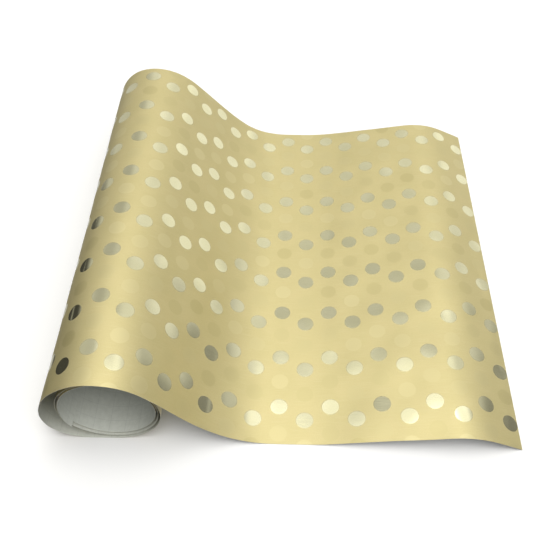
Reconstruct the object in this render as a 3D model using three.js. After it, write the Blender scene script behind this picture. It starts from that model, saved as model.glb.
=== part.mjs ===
// A sheet of gift-wrapping paper, wound into a loose roll with no core. The last stretch comes off
// the top of the roll, slopes down as a ramp, and lies on the table in one shallow wave.
//
// Millimetres, +Z up. The roll's axis runs along Y, with its open near end at -Y, and the free flap
// points to +X. The origin is on the table, under the middle of the part.
//
// The paper is one sheet that bends everywhere. Here it is cut across its length into stretches, each
// bent to one radius, so that it can flex at the seams between them. The roll's turns are stretches
// too: the loose outer turn, then the second, third and inner turns, wound inside each other.

import * as THREE from 'three';

// ---- Driving dimensions ----

const WIDTH = 762;                 // the web's width, 30 inches
const THICKNESS = 0.6;             // every stretch's, far above the paper's own 0.1
const SEAM = 0.3;                  // gap between one stretch and the next
const ARC_PER_FACE = 6;            // degrees of bend in one flat face of a curved stretch

// The flap, from the table contact out to the free edge: length, and bend in degrees (up is positive).
const REST_LENGTH = 40;
const WAVE_BACK = [
  { name: 'wave_back_strip_1', length: 60, bend: 9 },
  { name: 'wave_back_strip_2', length: 60, bend: 0 },
  { name: 'wave_back_strip_3', length: 60, bend: 0 },
  { name: 'wave_back_strip_4', length: 50, bend: 0 },
  { name: 'wave_crest_strip', length: 74, bend: -34 },
];

// The rise from the table contact to the top of the roll.
const FOOT = [
  { name: 'foot_bend_1', length: 48, bend: 18.5 },
  { name: 'foot_bend_2', length: 48, bend: 18.5 },
  { name: 'foot_bend_3', length: 43, bend: 9 },
];
const RAMP_SLOPE = 46;             // the sum of the foot's bends
const RAMP_STRIP_LENGTH = 47;      // two of them
const CREST_LENGTH = 84;

// The loose outer turn, from the top of the roll down its left side. Below it, a round corner takes
// what height is left, then a short flat base rests on the table.
const SHOULDER = { length: 88, bend: 64 };
const FLANK = { length: 46, bend: 26 };
const BASE_LENGTH = 24;

// The turns inside it. Each half turn is two quarter circles with a short flat between them, at the top
// or the bottom. Its radius is smaller than the last one's, and after each half that passes over, the
// flat is shorter too.
const ROLL_MIDDLE_HEIGHT = 77.5;   // height of the level at which every turn stands upright
const SECOND_TURN_RADIUS = 73.5;
const HALF_TURN_SHRINK = 0.8;
const SECOND_TURN_FLAT = 9;
const FLAT_SHRINK = 1.6;           // after each half that passes over
const INNER_EDGE_BEND = 17;        // of each of the last two strips, past the inner turn's left side

// The halves of each turn, and how far its near end stands back from the loose turn's.
const INNER_TURNS = [
  { halves: ['second_turn_over', 'second_turn_under'], setback: 2 },
  { halves: ['third_turn_over', 'third_turn_under'], setback: 4 },
  { halves: ['inner_turn_over'], setback: 5 },
];
const INNER_EDGE_SETBACK = 5;

const GOLD = 0xd2c48a;             // the printed face, outermost on the flap and the loose turn
const BACK_WHITE = 0xd8dad4;       // the plain back, which is what shows of the inner turns

// ---- A path in the XZ plane that lays stretches end to end ----

const radians = THREE.MathUtils.degToRad;

class Path {
  constructor(x, z, heading) {
    this.x = x;
    this.z = z;
    this.heading = heading;
  }

  // Adds a stretch and moves on to its end. bend is in degrees, positive to the path's left.
  stretch(name, length, bend, colour, setback = 0) {
    const outline = bend === 0 ? this.straight(length) : this.arc(length, bend);
    addStretch(name, outline, Math.abs(bend), colour, setback);
  }

  // Adds a half turn to the left, flat for a little way in its middle.
  halfTurn(name, radius, flat, colour, setback) {
    const first = this.heading - Math.PI / 2;
    const middle = this.heading;
    const last = this.heading + Math.PI / 2;
    const trim = SEAM / 2 / radius;
    const outwards = new THREE.Vector2(Math.cos(first), Math.sin(first));
    const a = new THREE.Vector2(this.x, this.z).addScaledVector(outwards, -radius);
    const b = a.clone().addScaledVector(outwards, -flat);
    const outer = radius + THICKNESS / 2;
    const inner = radius - THICKNESS / 2;
    this.x = b.x - outwards.x * radius;
    this.z = b.y - outwards.y * radius;
    this.heading += Math.PI;
    const outline = new THREE.Shape()
      .absarc(a.x, a.y, outer, first + trim, middle, false)
      .absarc(b.x, b.y, outer, middle, last - trim, false)
      .absarc(b.x, b.y, inner, last - trim, middle, true)
      .absarc(a.x, a.y, inner, middle, first + trim, true);
    addStretch(name, outline, 90, colour, setback);
  }

  straight(length) {
    const along = new THREE.Vector2(Math.cos(this.heading), Math.sin(this.heading));
    const across = new THREE.Vector2(-along.y, along.x).multiplyScalar(THICKNESS / 2);
    const start = new THREE.Vector2(this.x, this.z).addScaledVector(along, SEAM / 2);
    const end = new THREE.Vector2(this.x, this.z).addScaledVector(along, length - SEAM / 2);
    this.x += along.x * length;
    this.z += along.y * length;
    return new THREE.Shape([
      start.clone().sub(across),
      end.clone().sub(across),
      end.clone().add(across),
      start.clone().add(across),
    ]);
  }

  arc(length, bend) {
    const turn = radians(bend);
    const radius = length / Math.abs(turn);
    const left = Math.sign(turn);
    const centreX = this.x - Math.sin(this.heading) * radius * left;
    const centreZ = this.z + Math.cos(this.heading) * radius * left;
    const first = this.heading - left * Math.PI / 2;
    const trim = left * SEAM / 2 / radius;
    const from = first + trim;
    const to = first + turn - trim;
    const clockwise = turn < 0;
    this.x = centreX + Math.cos(first + turn) * radius;
    this.z = centreZ + Math.sin(first + turn) * radius;
    this.heading += turn;
    return new THREE.Shape()
      .absarc(centreX, centreZ, radius + THICKNESS / 2, from, to, clockwise)
      .absarc(centreX, centreZ, radius - THICKNESS / 2, to, from, !clockwise);
  }
}

// ---- Solids ----

// The outlines are drawn in X and Z, and each is extruded across the sheet's width, towards -Y.
const sheet = new THREE.Group();
sheet.rotation.x = Math.PI / 2;

function addStretch(name, outline, bend, colour, setback) {
  const geometry = new THREE.ExtrudeGeometry(outline, {
    depth: WIDTH,
    bevelEnabled: false,
    curveSegments: Math.max(1, Math.ceil(bend / ARC_PER_FACE / 2)),
  });
  const material = new THREE.MeshStandardMaterial({ color: colour, roughness: 0.45, metalness: 0.6 });
  const mesh = new THREE.Mesh(geometry, material);
  mesh.name = name;
  mesh.position.z = -setback;
  sheet.add(mesh);
}

// ---- The flap: a strip flat on the table, the wave beyond it, and the free edge back on the table ----

function buildFlap() {
  const path = new Path(0, THICKNESS / 2, 0);
  path.stretch('rest_strip', REST_LENGTH, 0, GOLD);
  for (const { name, length, bend } of WAVE_BACK) {
    path.stretch(name, length, bend, GOLD);
  }
  const drop = path.z - THICKNESS / 2 * Math.cos(path.heading);
  path.stretch('free_edge_strip', drop / Math.sin(-path.heading), 0, GOLD);
}

// ---- The ramp and the roll, in one path that runs up from the table and winds inwards ----

function buildRamp(path) {
  for (const { name, length, bend } of FOOT) {
    path.stretch(name, length, -bend, GOLD);
  }
  path.stretch('ramp_lower_strip', RAMP_STRIP_LENGTH, 0, GOLD);
  path.stretch('ramp_upper_strip', RAMP_STRIP_LENGTH, 0, GOLD);
}

function buildLooseTurn(path) {
  path.stretch('roll_crest', CREST_LENGTH, RAMP_SLOPE, GOLD);
  path.stretch('loose_turn_shoulder', SHOULDER.length, SHOULDER.bend, GOLD);
  path.stretch('loose_turn_flank', FLANK.length, FLANK.bend, GOLD);
  const cornerRadius = path.z - THICKNESS / 2;
  path.stretch('loose_turn_corner', cornerRadius * Math.PI / 2, 90, GOLD);
  path.stretch('loose_turn_base', BASE_LENGTH, 0, GOLD);
  const sideRadius = ROLL_MIDDLE_HEIGHT - THICKNESS / 2;
  path.stretch('loose_turn_right_side', sideRadius * Math.PI / 2, 90, GOLD);
}

function buildInnerTurns(path) {
  let radius = SECOND_TURN_RADIUS;
  let flat = SECOND_TURN_FLAT;
  for (const { halves, setback } of INNER_TURNS) {
    for (const name of halves) {
      path.halfTurn(name, radius, flat, BACK_WHITE, setback);
      radius -= HALF_TURN_SHRINK;
      if (name.endsWith('over')) {
        flat -= FLAT_SHRINK;
      }
    }
  }
  const stripLength = radius * radians(INNER_EDGE_BEND);
  for (const name of ['inner_edge_strip_1', 'inner_edge_strip_2']) {
    path.stretch(name, stripLength, INNER_EDGE_BEND, BACK_WHITE, INNER_EDGE_SETBACK);
  }
}

buildFlap();
const rollPath = new Path(0, THICKNESS / 2, Math.PI);
buildRamp(rollPath);
buildLooseTurn(rollPath);
buildInnerTurns(rollPath);

// ---- The part, with its origin on the table under its middle ----

const wrappingPaperRoll = new THREE.Group();
wrappingPaperRoll.add(sheet);
const middle = new THREE.Box3().setFromObject(wrappingPaperRoll).getCenter(new THREE.Vector3());
sheet.position.set(-middle.x, -middle.y, 0);

export default wrappingPaperRoll;
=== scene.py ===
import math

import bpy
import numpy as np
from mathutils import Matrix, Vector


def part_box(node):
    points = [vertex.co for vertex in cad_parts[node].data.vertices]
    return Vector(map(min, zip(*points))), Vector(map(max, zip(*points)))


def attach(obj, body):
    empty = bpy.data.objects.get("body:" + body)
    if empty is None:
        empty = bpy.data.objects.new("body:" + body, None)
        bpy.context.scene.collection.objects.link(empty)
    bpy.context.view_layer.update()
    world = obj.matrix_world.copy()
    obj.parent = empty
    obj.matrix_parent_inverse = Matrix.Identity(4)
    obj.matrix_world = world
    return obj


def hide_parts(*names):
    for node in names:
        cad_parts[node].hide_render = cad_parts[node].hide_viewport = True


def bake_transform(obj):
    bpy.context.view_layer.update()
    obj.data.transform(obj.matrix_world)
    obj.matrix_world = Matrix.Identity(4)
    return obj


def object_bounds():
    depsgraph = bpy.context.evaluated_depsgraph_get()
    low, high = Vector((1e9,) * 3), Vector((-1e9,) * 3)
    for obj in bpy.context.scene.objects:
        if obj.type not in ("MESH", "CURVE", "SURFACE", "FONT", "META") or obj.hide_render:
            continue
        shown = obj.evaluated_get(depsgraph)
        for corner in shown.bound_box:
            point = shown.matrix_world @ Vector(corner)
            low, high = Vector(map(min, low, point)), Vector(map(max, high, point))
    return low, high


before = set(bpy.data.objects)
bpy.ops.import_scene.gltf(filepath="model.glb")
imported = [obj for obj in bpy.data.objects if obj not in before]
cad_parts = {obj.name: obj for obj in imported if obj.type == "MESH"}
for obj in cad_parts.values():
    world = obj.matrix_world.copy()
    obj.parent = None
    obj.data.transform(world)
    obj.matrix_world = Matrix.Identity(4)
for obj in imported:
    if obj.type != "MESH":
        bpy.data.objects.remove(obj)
cad_low, cad_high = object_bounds()

# A sheet of gold gift-wrapping paper with foil dots, wound into a loose roll with its last stretch laid out
# on the table. The sheet is one surface, addressed by s, the distance from the free edge along the sheet,
# and t, the distance from the near edge across it. The pieces are stretches of that surface, and each meets
# the next along a line where the paper doesn't bend.

MM = 0.001

# ---- Driving dimensions, as in the CAD source, in millimetres and degrees ----

WIDTH = 762
CAD_THICKNESS = 0.6
SEAM = 0.3
REST_LENGTH = 40
WAVE_BACK = [
    ("wave_back_strip_1", 60, 9),
    ("wave_back_strip_2", 60, 0),
    ("wave_back_strip_3", 60, 0),
    ("wave_back_strip_4", 50, 0),
    ("wave_crest_strip", 74, -34),
]
FOOT = [("foot_bend_1", 48, 18.5), ("foot_bend_2", 48, 18.5), ("foot_bend_3", 43, 9)]
RAMP_SLOPE = 46
RAMP_STRIP_LENGTH = 47
CREST_LENGTH = 84
SHOULDER = (88, 64)
FLANK = (46, 26)
BASE_LENGTH = 24
ROLL_MIDDLE_HEIGHT = 77.5
SECOND_TURN_RADIUS = 73.5
HALF_TURN_SHRINK = 0.8
SECOND_TURN_FLAT = 9
FLAT_SHRINK = 1.6
INNER_EDGE_BEND = 17
INNER_HALVES = (
    "second_turn_over",
    "second_turn_under",
    "third_turn_over",
    "third_turn_under",
    "inner_turn_over",
)

# ---- What only the visual model has ----

PAPER_THICKNESS = 0.4              # thicker than life, so that the cut edges show
CURVE_SOFTENING = 8                # the spread over which one bend runs into the next
CELL_ALONG = 3.0                   # the most that a mesh cell measures along the sheet
CELL_ACROSS = 12.7                 # and what it measures across it

# ---- The sheet's centreline ----


class Path:
    """Lays stretches end to end in the XZ plane, in millimetres, and keeps points half a millimetre apart."""

    STEP = 0.5

    def __init__(self, x, z, heading):
        self.x, self.z, self.heading = x, z, heading
        self.length = 0.0
        self.points = [(0.0, x, z)]
        self.spans = {}

    def stretch(self, name, length, bend):
        """bend is in degrees, positive to the path's left."""
        turn = math.radians(bend)
        count = max(2, math.ceil(length / self.STEP))
        share = np.arange(1, count + 1) / count
        if bend:
            radius = length / turn
            angle = self.heading + turn * share
            xs = self.x + radius * (np.sin(angle) - math.sin(self.heading))
            zs = self.z - radius * (np.cos(angle) - math.cos(self.heading))
        else:
            xs = self.x + length * share * math.cos(self.heading)
            zs = self.z + length * share * math.sin(self.heading)
        self.points += list(zip(self.length + length * share, xs, zs))
        self.spans[name] = (self.length, self.length + length)
        self.x, self.z = xs[-1], zs[-1]
        self.heading += turn
        self.length += length


def flap_path(x):
    path = Path(x, CAD_THICKNESS / 2, 0.0)
    path.stretch("rest_strip", REST_LENGTH, 0)
    for name, length, bend in WAVE_BACK:
        path.stretch(name, length, bend)
    drop = path.z - CAD_THICKNESS / 2 * math.cos(path.heading)
    path.stretch("free_edge_strip", drop / math.sin(-path.heading), 0)
    return path


def roll_path(x):
    path = Path(x, CAD_THICKNESS / 2, math.pi)
    for name, length, bend in FOOT:
        path.stretch(name, length, -bend)
    path.stretch("ramp_lower_strip", RAMP_STRIP_LENGTH, 0)
    path.stretch("ramp_upper_strip", RAMP_STRIP_LENGTH, 0)
    path.stretch("roll_crest", CREST_LENGTH, RAMP_SLOPE)
    path.stretch("loose_turn_shoulder", *SHOULDER)
    path.stretch("loose_turn_flank", *FLANK)
    corner = path.z - CAD_THICKNESS / 2
    path.stretch("loose_turn_corner", corner * math.pi / 2, 90)
    path.stretch("loose_turn_base", BASE_LENGTH, 0)
    side = ROLL_MIDDLE_HEIGHT - CAD_THICKNESS / 2
    path.stretch("loose_turn_right_side", side * math.pi / 2, 90)
    radius, flat = SECOND_TURN_RADIUS, SECOND_TURN_FLAT
    for name in INNER_HALVES:
        quarter = radius * math.pi / 2
        path.stretch(name + "_rise", quarter, 90)
        path.stretch(name + "_flat", flat, 0)
        path.stretch(name + "_fall", quarter, 90)
        path.spans[name] = (path.spans[name + "_rise"][0], path.length)
        radius -= HALF_TURN_SHRINK
        if name.endswith("over"):
            flat -= FLAT_SHRINK
    for name in ("inner_edge_strip_1", "inner_edge_strip_2"):
        path.stretch(name, radius * math.radians(INNER_EDGE_BEND), INNER_EDGE_BEND)
    return path


MARGIN = 40                        # the path runs on this far past both ends, so that softening keeps them
KERNEL_REACH = 3                   # how many spreads out the softening reaches

foot_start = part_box("rest_strip")[0][0] / MM - SEAM / 2
flap, roll = flap_path(foot_start), roll_path(foot_start)
FLAP_LENGTH = flap.length
SHEET_LENGTH = flap.length + roll.length
spans = {name: (FLAP_LENGTH - b, FLAP_LENGTH - a) for name, (a, b) in flap.spans.items()}
spans.update({name: (FLAP_LENGTH + a, FLAP_LENGTH + b) for name, (a, b) in roll.spans.items()})
flap.stretch("past_free_edge", MARGIN, 0)
inner_radius = SECOND_TURN_RADIUS - len(INNER_HALVES) * HALF_TURN_SHRINK
roll.stretch("past_inner_edge", MARGIN, math.degrees(MARGIN / inner_radius))


def softened(values, spacing, spread=CURVE_SOFTENING):
    """Evenly spaced values, averaged over a bell curve. spread is its standard deviation."""
    reach = int(KERNEL_REACH * spread / spacing)
    offsets = np.arange(-reach, reach + 1) * spacing
    kernel = np.exp(-0.5 * (offsets / spread) ** 2)
    padded = np.pad(values, reach, mode="edge")
    return np.convolve(padded, kernel / kernel.sum(), mode="valid")


raw = np.array([(FLAP_LENGTH - s, x, z) for s, x, z in reversed(flap.points)]
               + [(FLAP_LENGTH + s, x, z) for s, x, z in roll.points[1:]])
line_s = np.arange(-MARGIN, SHEET_LENGTH + MARGIN, Path.STEP)
line_x = softened(np.interp(line_s, raw[:, 0], raw[:, 1]), Path.STEP)
line_z = softened(np.interp(line_s, raw[:, 0], raw[:, 2]), Path.STEP)
line_tx, line_tz = np.gradient(line_x, line_s), np.gradient(line_z, line_s)


def centre(name, share=0.5):
    """Distance along the sheet of a point inside a stretch."""
    a, b = spans[name]
    return a + (b - a) * share


# ---- The surface ----


def smoothstep(value, low, high):
    x = np.clip((value - low) / (high - low), 0.0, 1.0)
    return x * x * (3 - 2 * x)


# How the sheet departs from a straight extrusion, in millimetres. The columns are: distance along the sheet;
# how far the gold face stands out at the far edge, growing evenly from nothing at the near edge; how far it
# stands out in a flare at the near end; how far it leans to +X there; and how far its near edge is set back.
# The loose turn is slack towards its far end. At the near end the coil sits a little to the right of it, its
# turns stand a little apart, and its inner corner lifts inwards.
SLACK = [
    (centre("ramp_lower_strip", 0.5), 0.0, 0.0, 0.0, 0.0),
    (centre("ramp_upper_strip", 0.7), 0.0, 3.5, 0.0, 0.0),
    (centre("roll_crest", 0.3), 2.0, 4.0, 0.0, 0.0),
    (centre("roll_crest", 0.9), 7.0, 0.0, 0.0, 0.0),
    (centre("loose_turn_shoulder", 0.6), 12.0, -4.0, 0.0, 0.0),
    (centre("loose_turn_flank", 0.5), 12.0, 2.0, 0.0, 0.5),
    (centre("loose_turn_corner", 0.15), 9.0, 6.0, 0.0, 1.0),
    (centre("loose_turn_corner", 0.45), 5.0, 7.5, 0.0, 2.5),
    (centre("loose_turn_corner", 0.75), 0.0, 3.0, 0.0, 3.5),
    (centre("loose_turn_base", 0.0), 0.0, 0.0, 0.0, 4.0),
    (centre("loose_turn_base", 1.0), 0.0, 0.0, 2.0, 4.0),
    (centre("loose_turn_right_side", 0.5), 0.0, 1.0, 6.0, 5.0),
    (centre("second_turn_over_rise", 0.3), 0.0, 0.0, 6.0, 6.0),
    (centre("second_turn_under", 0.3), 0.0, 0.0, 6.0, 6.5),
    (centre("second_turn_under", 0.9), 0.0, 0.0, 6.0, 6.5),
    (centre("third_turn_over", 0.5), 0.0, -0.3, 6.0, 8.0),
    (centre("third_turn_under", 0.2), 0.0, -1.6, 6.0, 10.5),
    (centre("third_turn_under", 0.5), 0.0, -1.6, 6.0, 9.5),
    (centre("third_turn_under", 0.9), 0.0, -0.8, 6.0, 9.5),
    (centre("inner_turn_over", 0.6), 0.0, -0.5, 6.0, 7.0),
    (centre("inner_turn_over", 1.0), 0.0, -1.2, 6.0, 4.0),
    (SHEET_LENGTH, 0.0, -2.2, 6.0, -1.0),
]
SLACK_SPREAD = 12                  # each figure runs into the next over this distance
FLARE_REACH = (0, 240)             # the flare fades away between these distances from the near edge

slack = np.array(SLACK).T
line_slack = [softened(np.interp(line_s, slack[0], figure), Path.STEP, SLACK_SPREAD) for figure in slack[1:]]

# Broad ripples, as in any unrolled paper: height in millimetres, waves per metre along and across, and phase.
RIPPLES = [
    (0.5, 5.1, 1.7, 0.3),
    (0.45, -3.7, 4.3, 1.9),
    (0.3, 7.9, -3.1, 4.0),
    (0.2, 2.3, 9.7, 2.6),
    (0.12, 13.0, 6.1, 5.2),
]
RIPPLE_IN_LOOSE_TURN = 0.3         # the share of the ripples that is left there
RIPPLE_IN_COIL = 0.08              # and in the turns inside
RIPPLE_CHANGE = 60                 # the distance over which the share changes
RIPPLE_HEIGHTS = (1.0, 9.0)        # they grow between these heights, because the table presses the sheet flat


def ripple(s, t, height):
    wave = sum(size * np.sin(2 * math.pi * MM * (along * s + across * t) + phase)
               for size, along, across, phase in RIPPLES)
    turn, coil = centre("roll_crest"), centre("loose_turn_base")
    share = np.interp(s, [turn - RIPPLE_CHANGE, turn, coil, coil + RIPPLE_CHANGE],
                      [1, RIPPLE_IN_LOOSE_TURN, RIPPLE_IN_LOOSE_TURN, RIPPLE_IN_COIL])
    return wave * smoothstep(height, *RIPPLE_HEIGHTS) * share


NEAR_EDGE_Y = cad_low[1] / MM


def surface(s, t, side=0.0):
    """Points in millimetres, side millimetres off the middle of the paper towards its gold face."""
    x, z = np.interp(s, line_s, line_x), np.interp(s, line_s, line_z)
    tx, tz = np.interp(s, line_s, line_tx), np.interp(s, line_s, line_tz)
    size = np.hypot(tx, tz)
    nx, nz = tz / size, -tx / size
    far, flare, lean, setback = (np.interp(s, line_s, figure) for figure in line_slack)
    flared = 1 - smoothstep(t, *FLARE_REACH)
    side = side + far * t / WIDTH + flare * flared + ripple(s, t, z)
    y = NEAR_EDGE_Y + t + setback
    return np.stack([x + nx * side + lean * flared, y, z + nz * side], axis=-1)


def normals(s, t):
    """Unit normals of the gold face."""
    step = Path.STEP
    along = surface(s + step, t) - surface(s - step, t)
    across = surface(s, t + step) - surface(s, t - step)
    n = np.cross(along, across)
    return n / np.linalg.norm(n, axis=-1, keepdims=True)


# ---- Nodes ----


class Tree:
    """Short names for the shader nodes used below. A value is a socket, or a number or colour for one."""

    def __init__(self, owner):
        owner.use_nodes = True
        self.tree = owner.node_tree
        self.tree.nodes.clear()

    def node(self, kind, **settings):
        node = self.tree.nodes.new(kind)
        for key, value in settings.items():
            setattr(node, key, value)
        return node

    def put(self, value, socket):
        if isinstance(value, bpy.types.NodeSocket):
            self.tree.links.new(value, socket)
        elif value is not None:
            socket.default_value = value

    def math(self, operation, a, b=None, c=None):
        node = self.node("ShaderNodeMath", operation=operation)
        for value, socket in zip((a, b, c), node.inputs):
            self.put(value, socket)
        return node.outputs[0]

    def add(self, a, b):
        return self.math("ADD", a, b)

    def subtract(self, a, b):
        return self.math("SUBTRACT", a, b)

    def multiply(self, a, b):
        return self.math("MULTIPLY", a, b)

    def ramp(self, value, low, high, out_low=0.0, out_high=1.0):
        """Smooth step from out_low at low to out_high at high."""
        node = self.node("ShaderNodeMapRange", interpolation_type="SMOOTHSTEP")
        for v, socket in zip((value, low, high, out_low, out_high), node.inputs):
            self.put(v, socket)
        return node.outputs[0]

    def mix(self, factor, a, b):
        """Colour a where factor is 0, and b where it is 1."""
        node = self.node("ShaderNodeMix", data_type="RGBA")
        self.put(factor, node.inputs[0])
        self.put(a, node.inputs[6])
        self.put(b, node.inputs[7])
        return node.outputs[2]

    def blend_values(self, factor, a, b):
        """The same for plain numbers."""
        node = self.node("ShaderNodeMix", data_type="FLOAT")
        self.put(factor, node.inputs[0])
        self.put(a, node.inputs[2])
        self.put(b, node.inputs[3])
        return node.outputs[0]

    def noise(self, vector, scale, detail=2.0, roughness=0.5):
        node = self.node("ShaderNodeTexNoise", noise_dimensions="3D")
        self.put(vector, node.inputs["Vector"])
        node.inputs["Scale"].default_value = scale
        node.inputs["Detail"].default_value = detail
        node.inputs["Roughness"].default_value = roughness
        return node.outputs["Fac"]

    def vector(self, x, y, z):
        node = self.node("ShaderNodeCombineXYZ")
        for value, socket in zip((x, y, z), node.inputs):
            self.put(value, socket)
        return node.outputs[0]

    def sheet_uv(self):
        """s and t in metres, and both as a vector."""
        uv = self.node("ShaderNodeUVMap", uv_map="sheet").outputs[0]
        parts = self.node("ShaderNodeSeparateXYZ")
        self.put(uv, parts.inputs[0])
        return parts.outputs[0], parts.outputs[1], uv

    def nearest(self, value, pitch):
        """The index of the nearest multiple of pitch, and the signed distance from it."""
        index = self.math("ROUND", self.math("DIVIDE", value, pitch))
        return index, self.subtract(value, self.multiply(index, pitch))

    def bump(self, height, strength, distance, normal=None):
        node = self.node("ShaderNodeBump")
        node.inputs["Strength"].default_value = strength
        node.inputs["Distance"].default_value = distance
        self.put(height, node.inputs["Height"])
        self.put(normal, node.inputs["Normal"])
        return node.outputs[0]

    def finish(self, shader, kind="ShaderNodeOutputMaterial"):
        self.put(shader, self.node(kind).inputs["Surface"])


# ---- Materials ----

DOT_PITCH = 47.8 * MM              # between dots across the sheet
DOT_ROW = DOT_PITCH * math.cos(math.radians(30))
DOT_DIAMETER = 27.8 * MM
DOT_FIRST_S = 14.3 * MM            # first row of dots, from the free edge
DOT_FIRST_T = 42.3 * MM            # a foil dot of that row, from the near edge
DOT_SOFTNESS = 0.2 * MM            # a dot's edge fades over this far on both sides
DOT_RING = (0.1 * MM, 0.7 * MM)    # the dark line round a foil dot fades between these distances from its edge
DARKENED_DOTS = [                      # row, place in the row, and how far its foil is darkened towards a dark colour
    (5, 0, 0.7),
    (8, 0, 0.3),
    (8, 2, 0.15),
]
GRID = 25.4 * MM                   # the cutting grid on the back, one inch
GRID_FIRST_S = 8 * MM              # a line across the sheet, from the free edge
GRID_FIRST_T = 20 * MM             # a line along it, from the near edge
GRID_LINE = (0.45 * MM, 0.2 * MM)  # a line fades in between these distances from its middle

# How each finish shines: metallic, roughness, and what the grain adds to the roughness.
GOLD_SHINE = (0.62, 0.40, 0.16)
FOIL_SHINE = (1.0, 0.07, 0.08)
SATIN_SMOOTHER = 0.06              # how much less rough a satin dot is than the gold round it
GOLD_SPECULAR = 0.3
BACK_ROUGHNESS = (0.5, 0.68)
CUT_ROUGHNESS = (0.6, 0.8)
FLOOR_ROUGHNESS = (0.75, 0.85)
FLOOR_SPECULAR = 0.1

# Linear colours. Where there are two, a noise runs from one to the other.
GOLD_PRINT = ((0.65, 0.573, 0.288, 1), (0.68, 0.593, 0.305, 1))
GOLD_IN_GRAIN = (0.51, 0.43, 0.19, 1)
GOLD_STREAK = (0.75, 0.68, 0.40, 1)
SATIN = ((0.575, 0.50, 0.235, 1), (0.695, 0.615, 0.325, 1))
MIRROR = ((0.915, 0.875, 0.555, 1), (0.965, 0.925, 0.61, 1))
# the dark colour that some single foil dots are darkened towards
MIRROR_DARKENED = (0.24, 0.23, 0.15, 1)
MIRROR_WORN = (0.48, 0.46, 0.30, 1)
MIRROR_STREAK = (0.55, 0.52, 0.33, 1)
RING = (0.42, 0.38, 0.22, 1)
PAPER_BACK = ((0.595, 0.615, 0.555, 1), (0.65, 0.67, 0.61, 1))
PAPER_FIBRE = (0.53, 0.54, 0.48, 1)
GRID_INK = (0.30, 0.31, 0.30, 1)
PAPER_CUT = ((0.80, 0.77, 0.66, 1), (0.92, 0.90, 0.82, 1))
PALE_FLOOR = ((0.92, 0.92, 0.92, 1), (0.95, 0.95, 0.95, 1))


def gold_face():
    """Satin gold print with a hexagonal pattern of dots, every other one in mirror foil."""
    material = bpy.data.materials.new("gold_face")
    n = Tree(material)
    s, t, uv = n.sheet_uv()

    row, ds = n.nearest(n.subtract(s, DOT_FIRST_S), DOT_ROW)
    odd = n.math("FLOORED_MODULO", row, 2.0)
    offset = n.subtract(n.subtract(t, DOT_FIRST_T), n.multiply(odd, DOT_PITCH / 2))
    index, dt = n.nearest(offset, DOT_PITCH)
    satin_dot = n.math("FLOORED_MODULO", index, 2.0)
    distance = n.math("SQRT", n.add(n.multiply(ds, ds), n.multiply(dt, dt)))
    radius = DOT_DIAMETER / 2
    inside = n.ramp(distance, radius + DOT_SOFTNESS, radius - DOT_SOFTNESS)
    foil = n.multiply(inside, n.subtract(1.0, satin_dot))
    satin = n.multiply(inside, satin_dot)
    ring = n.subtract(1.0, n.ramp(n.math("ABSOLUTE", n.subtract(distance, radius)), *DOT_RING))
    foil_ring = n.multiply(ring, n.subtract(1.0, satin_dot))

    grain = n.noise(uv, 620.0, 2.0, 0.7)
    speckle = n.noise(uv, 2600.0, 1.0)
    mottle = n.noise(uv, 25.0, 1.0, 0.4)
    streaks = n.noise(n.vector(n.multiply(s, 30.0), n.multiply(t, 700.0), 0.0), 1.0, 2.0)

    lottery = n.node("ShaderNodeTexWhiteNoise", noise_dimensions="2D")
    n.put(n.vector(row, index, 0.0), lottery.inputs["Vector"])
    varied = lottery.outputs["Value"]  # one number for each dot

    gold = n.mix(n.ramp(mottle, 0.2, 0.8), *GOLD_PRINT)
    gold = n.mix(n.ramp(grain, 0.3, 0.75), n.mix(0.35, gold, GOLD_IN_GRAIN), gold)
    gold = n.mix(n.multiply(n.ramp(streaks, 0.45, 0.75), 0.18), gold, GOLD_STREAK)
    gold = n.mix(n.multiply(satin, 0.75), gold, n.mix(varied, *SATIN))

    mirror = n.mix(n.ramp(mottle, 0.35, 0.7), *MIRROR)
    # Single foil dots are darkened towards a dark colour, by a share set for each dot and varied along the
    # streaks.
    for darkened_row, darkened_index, amount in DARKENED_DOTS:
        in_row = n.math("COMPARE", row, darkened_row, 0.5)
        in_place = n.math("COMPARE", index, darkened_index, 0.5)
        darkening = n.ramp(streaks, 0.2, 0.8, amount, amount * 0.7)
        mirror = n.mix(n.multiply(n.multiply(in_row, in_place), darkening), mirror, MIRROR_DARKENED)
    mirror = n.mix(n.multiply(varied, 0.16), mirror, MIRROR_WORN)
    mirror = n.mix(n.multiply(n.ramp(streaks, 0.5, 0.8), 0.12), mirror, MIRROR_STREAK)

    colour = n.mix(foil, gold, mirror)
    colour = n.mix(n.multiply(foil_ring, 0.35), colour, RING)

    gold_metallic, gold_roughness, gold_grain = GOLD_SHINE
    foil_metallic, foil_roughness, foil_grain = FOIL_SHINE
    rough_gold = n.add(gold_roughness, n.multiply(grain, gold_grain))
    rough_gold = n.subtract(rough_gold, n.multiply(satin, SATIN_SMOOTHER))
    rough_foil = n.add(foil_roughness, n.multiply(grain, foil_grain))

    # Relief, from the broadest to the finest: the paper's own, dents in the foil, the grain and the dots' rims.
    fine = n.add(n.multiply(grain, 0.6), n.multiply(speckle, 0.4))
    waves = n.noise(uv, 20.0, 1.0, 0.4)
    dimples = n.noise(uv, 85.0, 1.0, 0.4)
    normal = n.bump(waves, 0.3, 0.3 * MM)
    normal = n.bump(n.multiply(dimples, foil), 0.3, 0.1 * MM, normal)
    normal = n.bump(n.blend_values(foil, fine, n.multiply(fine, 0.18)), 0.5, 0.06 * MM, normal)
    normal = n.bump(n.multiply(inside, -1.0), 0.5, 0.05 * MM, normal)

    shader = n.node("ShaderNodeBsdfPrincipled")
    n.put(colour, shader.inputs["Base Color"])
    n.put(n.blend_values(foil, gold_metallic, foil_metallic), shader.inputs["Metallic"])
    n.put(n.blend_values(foil, rough_gold, rough_foil), shader.inputs["Roughness"])
    n.put(normal, shader.inputs["Normal"])
    shader.inputs["Specular IOR Level"].default_value = GOLD_SPECULAR
    n.finish(shader.outputs[0])
    return material


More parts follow.
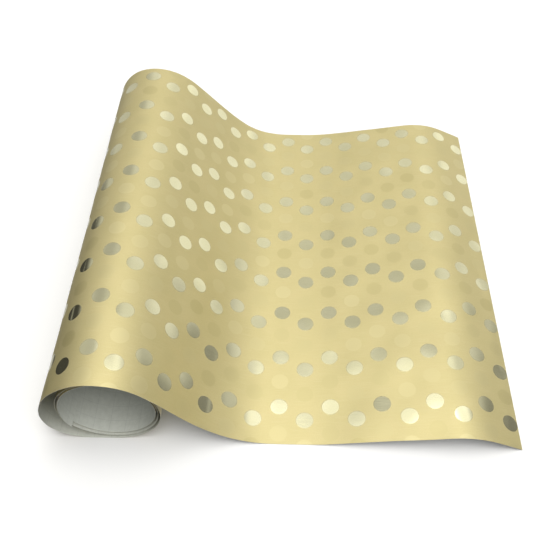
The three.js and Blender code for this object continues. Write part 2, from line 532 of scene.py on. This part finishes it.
def white_back():
    """Uncoated back with a printed cutting grid."""
    material = bpy.data.materials.new("white_back")
    n = Tree(material)
    s, t, uv = n.sheet_uv()
    _, from_s = n.nearest(n.subtract(s, GRID_FIRST_S), GRID)
    _, from_t = n.nearest(n.subtract(t, GRID_FIRST_T), GRID)
    line_across = n.ramp(n.math("ABSOLUTE", from_s), *GRID_LINE)
    line_along = n.ramp(n.math("ABSOLUTE", from_t), *GRID_LINE)
    lines = n.math("MAXIMUM", line_across, line_along)
    fibres = n.noise(n.vector(n.multiply(s, 600.0), n.multiply(t, 180.0), 0.0), 1.0, 3.0, 0.65)
    clouds = n.noise(uv, 120.0, 3.0, 0.6)
    paper = n.mix(n.ramp(clouds, 0.3, 0.7), *PAPER_BACK)
    paper = n.mix(n.multiply(n.ramp(fibres, 0.5, 0.8), 0.25), paper, PAPER_FIBRE)
    colour = n.mix(n.multiply(lines, 0.25), paper, GRID_INK)
    shader = n.node("ShaderNodeBsdfPrincipled")
    n.put(colour, shader.inputs["Base Color"])
    n.put(n.ramp(fibres, 0.3, 0.7, *BACK_ROUGHNESS), shader.inputs["Roughness"])
    n.put(n.bump(n.add(fibres, clouds), 0.4, 0.06 * MM), shader.inputs["Normal"])
    n.finish(shader.outputs[0])
    return material


def cut_edge():
    """The cut through the paper: white fibre with a trace of the print."""
    material = bpy.data.materials.new("cut_edge")
    n = Tree(material)
    _, _, uv = n.sheet_uv()
    fibre = n.noise(uv, 1500.0, 3.0, 0.7)
    shader = n.node("ShaderNodeBsdfPrincipled")
    n.put(n.mix(n.ramp(fibre, 0.3, 0.7), *PAPER_CUT), shader.inputs["Base Color"])
    n.put(n.ramp(fibre, 0.3, 0.7, *CUT_ROUGHNESS), shader.inputs["Roughness"])
    n.put(n.bump(fibre, 0.3, 0.04 * MM), shader.inputs["Normal"])
    n.finish(shader.outputs[0])
    return material


GOLD, BACK, EDGE = gold_face(), white_back(), cut_edge()

# ---- Pieces ----


def strip(name, start, end):
    """A closed thin mesh of the sheet from start to end along it, with its own smooth normals."""
    rows = max(3, math.ceil((end - start) / CELL_ALONG)) + 1
    columns = round(WIDTH / CELL_ACROSS) + 1
    s, t = np.meshgrid(np.linspace(start, end, rows), np.linspace(0, WIDTH, columns), indexing="ij")
    s, t = s.ravel(), t.ravel()
    half = PAPER_THICKNESS / 2
    points = np.concatenate([surface(s, t, half), surface(s, t, -half)]) * MM
    face_normals = normals(s, t)
    below = rows * columns

    def at(i, j):
        return i * columns + j

    i, j = (k.ravel() for k in np.meshgrid(np.arange(rows - 1), np.arange(columns - 1), indexing="ij"))
    top = np.stack([at(i, j), at(i + 1, j), at(i + 1, j + 1), at(i, j + 1)], axis=1)
    bottom = top[:, ::-1] + below
    i, j = np.arange(rows - 1), np.arange(columns - 1)
    near = np.stack([at(i, 0), at(i, 0) + below, at(i + 1, 0) + below, at(i + 1, 0)], axis=1)
    far = np.stack([at(i + 1, columns - 1), at(i + 1, columns - 1) + below, at(i, columns - 1) + below,
                    at(i, columns - 1)], axis=1)
    first = np.stack([at(0, j + 1), at(0, j + 1) + below, at(0, j) + below, at(0, j)], axis=1)
    last = np.stack([at(rows - 1, j), at(rows - 1, j) + below, at(rows - 1, j + 1) + below,
                     at(rows - 1, j + 1)], axis=1)
    rims = np.concatenate([near, far, first, last])
    faces = np.concatenate([top, bottom, rims])

    mesh = bpy.data.meshes.new(name)
    mesh.from_pydata(points.tolist(), [], faces.tolist())
    mesh.polygons.foreach_set("material_index", [0] * len(top) + [1] * len(bottom) + [2] * len(rims))
    mesh.polygons.foreach_set("use_smooth", [True] * (len(top) + len(bottom)) + [False] * len(rims))
    for material in (GOLD, BACK, EDGE):
        mesh.materials.append(material)
    corners = faces.ravel() % below
    uv = mesh.uv_layers.new(name="sheet")
    uv.data.foreach_set("uv", (np.stack([s[corners], t[corners]], axis=1) * MM).ravel())
    a, b, c = (points[rims[:, k]] for k in range(3))
    rim_normals = np.cross(b - a, c - a)
    rim_normals /= np.linalg.norm(rim_normals, axis=1, keepdims=True)
    per_corner = np.concatenate([face_normals[top.ravel()], -face_normals[bottom.ravel() - below],
                                 np.repeat(rim_normals, 4, axis=0)])
    mesh.normals_split_custom_set(per_corner.tolist())
    mesh.validate()
    piece = bpy.data.objects.new(name, mesh)
    bpy.context.collection.objects.link(piece)
    return piece


def declare(nodes):
    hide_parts(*nodes)


def bending(name, start, end, nodes):
    """A piece that crosses one joint, with its transform baked into its mesh and attached to no body."""
    low, high = min(start, end), max(start, end)
    piece = strip(name, low, high)
    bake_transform(piece)
    declare(nodes)


# From the free edge to the roll's crest, each piece runs from the middle of one stretch to that of the next.
CHAIN = [
    ("free_edge", "free_edge_strip"),
    ("wave_crest", "wave_crest_strip"),
    ("wave_back_4", "wave_back_strip_4"),
    ("wave_back_3", "wave_back_strip_3"),
    ("wave_back_2", "wave_back_strip_2"),
    ("wave_back_1", "wave_back_strip_1"),
    ("rest", "rest_strip"),
    ("foot_1", "foot_bend_1"),
    ("foot_2", "foot_bend_2"),
    ("foot_3", "foot_bend_3"),
    ("ramp_lower", "ramp_lower_strip"),
    ("ramp_upper", "ramp_upper_strip"),
    ("roll", "roll_crest"),
]
CREST_SHARE = 0.35                 # how far into the crest the ramp's last piece reaches

for (body, node), (next_body, next_node) in zip(CHAIN, CHAIN[1:]):
    start = centre(node)
    end = centre(next_node, CREST_SHARE if next_body == "roll" else 0.5)
    if body == "free_edge":
        piece = strip("paper_free_edge", 0.0, end)
        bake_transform(piece)
        declare([node])
    else:
        bending("paper_" + body, start, end, [node])

start, end = centre("roll_crest", CREST_SHARE), spans["loose_turn_base"][1]
piece = strip("paper_loose_turn", start, end)
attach(piece, "roll")
declare(["roll_crest", "loose_turn_shoulder", "loose_turn_flank", "loose_turn_corner", "loose_turn_base"])

# Each turn passes to the next over its right half.
HALVES = [
    ("roll", "second_turn", "loose_turn_right_side", 0.0, "second_turn_over", "second_turn_under"),
    ("second_turn", "third_turn", "second_turn_under", 0.5, "third_turn_over", "third_turn_under"),
    ("third_turn", "inner_turn", "third_turn_under", 0.5, "inner_turn_over", None),
]
for outer, inner, from_node, share, over, under in HALVES:
    start, end = centre(from_node, share), centre(over)
    bending("paper_" + outer + "_right", start, end, [from_node])
    if under:
        left_end = centre(under)
        piece = strip("paper_" + inner + "_left", end, left_end)
        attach(piece, inner)
        declare([over])

INNER_LEAD = 8                     # the inner turn's part of the piece that bends at its last strip
seam = spans["inner_turn_over"][1]
start, end = centre("inner_turn_over"), seam - INNER_LEAD
piece = strip("paper_inner_turn_left", start, end)
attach(piece, "inner_turn")
declare(["inner_turn_over"])
middle = centre("inner_edge_strip_1")
bending("paper_inner_edge_1", end, middle, ["inner_edge_strip_1"])
bending("paper_inner_edge_2", middle, SHEET_LENGTH, ["inner_edge_strip_2"])

# ---- Floor ----

FLOOR_HALF = 4.0                   # metres
FLOOR_BOUNCE = 0.15                # how much light the floor throws back at the object
CORNERS = ((-1, -1), (1, -1), (1, 1), (-1, 1))
floor_mesh = bpy.data.meshes.new("floor")
floor_mesh.from_pydata([(x * FLOOR_HALF, y * FLOOR_HALF, 0.0) for x, y in CORNERS], [], [(0, 1, 2, 3)])
floor_material = bpy.data.materials.new("pale_floor")
n = Tree(floor_material)
position = n.node("ShaderNodeNewGeometry").outputs["Position"]
shader = n.node("ShaderNodeBsdfPrincipled")
pale = n.mix(n.noise(position, 3.0), *PALE_FLOOR)
bounce = n.node("ShaderNodeLightPath").outputs["Is Diffuse Ray"]
n.put(n.mix(bounce, pale, (FLOOR_BOUNCE, FLOOR_BOUNCE, FLOOR_BOUNCE, 1)), shader.inputs["Base Color"])
n.put(n.ramp(n.noise(position, 9.0), 0.3, 0.7, *FLOOR_ROUGHNESS), shader.inputs["Roughness"])
shader.inputs["Specular IOR Level"].default_value = FLOOR_SPECULAR
n.finish(shader.outputs[0])
floor_mesh.materials.append(floor_material)
floor = bpy.data.objects.new("floor", floor_mesh)
bpy.context.collection.objects.link(floor)
floor.visible_glossy = False

# ---- Light: a studio of soft panels, seen as broad lobes of brightness round the object ----


def direction(azimuth, elevation):
    """Azimuth 0 is away from the camera and 90 to its right, in degrees."""
    a, e = math.radians(azimuth), math.radians(elevation)
    return (math.sin(a) * math.cos(e), math.cos(a) * math.cos(e), math.sin(e))


# Each is an azimuth, an elevation, a brightness, and how many degrees from its middle it starts to fade and
# is gone. Panels and glints add that brightness to the room's. A shade takes that share of it away.
PANELS = [
    (10, 86, 2.15, 16, 26),        # overhead
    (-22, 72, 0.5, 14, 22),        # a panel on its left
    (38, 66, 0.55, 12, 19),        # and one on its right
    (24, 32, 0.25, 10, 26),        # the wall behind the object
    (0, 30, 0.18, 6, 22),
    (38, 3, 0.36, 8, 24),
    (180, 68, 2.2, 12, 34),        # above the camera
    (138, 46, 1.15, 12, 34),       # and to its right
]
SHADES = [
    (-80, -10, 0.9, 30, 40),       # an unlit corner of the room
    (75, 12, 0.6, 13, 28),
    (-118, 35, 0.45, 30, 58),
    (180, -5, 0.86, 30, 62),       # the low part of the room behind the camera
    (-30, 38, 0.2, 4, 14),
]
GLINTS = [
    (-57, -3, 0.3, 0.6, 2.2),      # narrow lights in the unlit corner
    (-52, -1, 0.22, 0.3, 1.8),
    (-47, -2, 0.3, 0.4, 1.5),
    (58, 17, 0.3, 0.4, 1.8),
]
ROOM = 0.53                        # the room's own brightness
LIGHT_TINT = (1.0, 0.995, 0.975, 1)
BACKDROP = (0.97, 0.97, 0.97, 1)   # what the camera sees past the floor

world = bpy.data.worlds.new("studio")
bpy.context.scene.world = world
n = Tree(world)
ray = n.node("ShaderNodeTexCoord").outputs["Generated"]


def lobe(azimuth, elevation, brightness, fade_from, fade_to):
    dot = n.node("ShaderNodeVectorMath", operation="DOT_PRODUCT")
    n.put(ray, dot.inputs[0])
    dot.inputs[1].default_value = direction(azimuth, elevation)
    return n.ramp(dot.outputs["Value"], math.cos(math.radians(fade_to)), math.cos(math.radians(fade_from)),
                  0.0, brightness)


total = ROOM
for panel in PANELS:
    total = n.add(total, lobe(*panel))
for shade in SHADES:
    total = n.multiply(total, n.subtract(1.0, lobe(*shade)))
for glint in GLINTS:
    total = n.add(total, lobe(*glint))
background = n.node("ShaderNodeBackground")
background.inputs["Color"].default_value = LIGHT_TINT
n.put(total, background.inputs["Strength"])
backdrop = n.node("ShaderNodeBackground")
backdrop.inputs["Color"].default_value = BACKDROP
choice = n.node("ShaderNodeMixShader")
n.put(n.node("ShaderNodeLightPath").outputs["Is Camera Ray"], choice.inputs[0])
n.put(background.outputs[0], choice.inputs[1])
n.put(backdrop.outputs[0], choice.inputs[2])
n.finish(choice.outputs[0], "ShaderNodeOutputWorld")

# ---- Camera: about a metre above the table, in front of the roll's open end ----

AZIMUTH, ELEVATION, DISTANCE = 1.54, 49.43, 1.234
AIM_OFFSET = (-0.011, -0.111, 0.0)  # from the middle of the object
SENSOR_WIDTH, FOCAL_LENGTH = 36.0, 46.75
SHIFT = (-0.0127, 0.0014)
middle = (cad_low + cad_high) / 2
aim = [m + o for m, o in zip(middle, AIM_OFFSET)]
a, e = math.radians(AZIMUTH), math.radians(ELEVATION)
back = (math.sin(a) * math.cos(e), -math.cos(a) * math.cos(e), math.sin(e))
camera_data = bpy.data.cameras.new("camera")
camera_data.sensor_width = SENSOR_WIDTH
camera_data.lens = FOCAL_LENGTH
camera_data.shift_x, camera_data.shift_y = SHIFT
camera = bpy.data.objects.new("camera", camera_data)
bpy.context.collection.objects.link(camera)
camera.location = [p + b * DISTANCE for p, b in zip(aim, back)]
camera.rotation_euler = (math.pi / 2 - e, 0.0, a)
bpy.context.scene.camera = camera
bpy.context.scene.view_settings.view_transform = "Standard"
